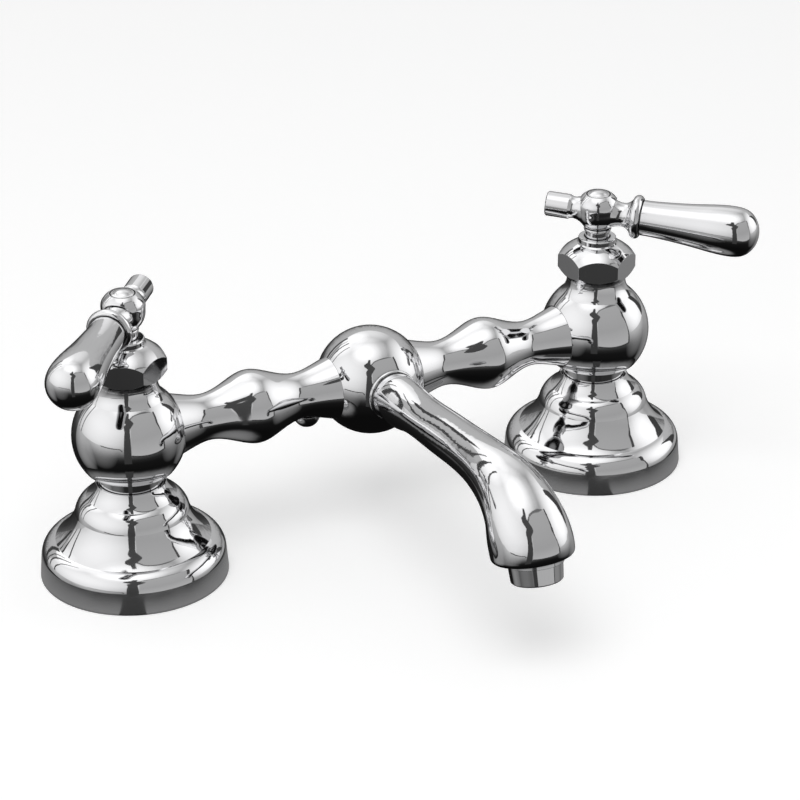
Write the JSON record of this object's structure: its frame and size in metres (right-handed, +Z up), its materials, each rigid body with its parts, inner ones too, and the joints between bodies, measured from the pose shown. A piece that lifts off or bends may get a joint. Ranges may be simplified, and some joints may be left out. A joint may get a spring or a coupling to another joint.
{
  "type": "bridge faucet",
  "caption": "Deck-mounted bridge faucet in polished chrome: bell escutcheons, turned bridge with a central ball, short curved spout with aerator, and lever handles on globe valves.",
  "frame": {"origin": "on the deck plane, halfway between the two valve axes", "axes": "+X along the bridge towards the valve on the right as seen from the spout side, +Z up; the spout points to -Y"},
  "size_m": [0.3003, 0.1778, 0.1194],
  "materials": {
    "chrome": "polished chrome plate on brass",
    "brass": "plain machined brass",
    "steel": "stainless steel",
    "ceramic": "lapped white ceramic",
    "rubber": "black rubber",
    "insert": "light moulded plastic"
  },
  "bodies": {
    "faucet_body": {"left_escutcheon": "chrome", "left_tailpiece": "brass", "left_valve_body": "chrome", "left_bonnet_nut": "chrome", "left_cartridge_housing": "brass", "left_housing_seal": "rubber", "left_seat_seal": "rubber", "left_fixed_disc": "ceramic", "bridge_arm_left": "chrome", "bridge_seal_left_ball": "rubber", "bridge_seal_left_valve": "rubber", "right_escutcheon": "chrome", "right_tailpiece": "brass", "right_valve_body": "chrome", "right_bonnet_nut": "chrome", "right_cartridge_housing": "brass", "right_housing_seal": "rubber", "right_seat_seal": "rubber", "right_fixed_disc": "ceramic", "bridge_arm_right": "chrome", "bridge_seal_right_ball": "rubber", "bridge_seal_right_valve": "rubber", "bridge_arm_plug": "chrome", "bridge_ball": "chrome", "spout": "chrome", "spout_seal": "rubber", "aerator_housing": "chrome", "aerator_insert": "insert", "aerator_washer": "rubber"},
    "left_handle": {"left_moving_disc": "ceramic", "left_stem": "brass", "left_stem_seal": "rubber", "left_handle_hub": "chrome", "left_grip": "chrome", "left_grip_stud": "steel", "left_handle_screw": "steel", "left_index_cap": "chrome"},
    "right_handle": {"right_moving_disc": "ceramic", "right_stem": "brass", "right_stem_seal": "rubber", "right_handle_hub": "chrome", "right_grip": "chrome", "right_grip_stud": "steel", "right_handle_screw": "steel", "right_index_cap": "chrome"}
  },
  "joints": [
    {"name": "left_handle_turn", "type": "hinge", "parent": "faucet_body", "child": "left_handle", "pos_m": [-0.1016, 0, 0.1086], "axis": [0, 0, 1], "range_deg": [-48, 42]},
    {"name": "right_handle_turn", "type": "hinge", "parent": "faucet_body", "child": "right_handle", "pos_m": [0.1016, 0, 0.1086], "axis": [0, 0, 1], "range_deg": [-48.5, 41.5]}
  ]
}
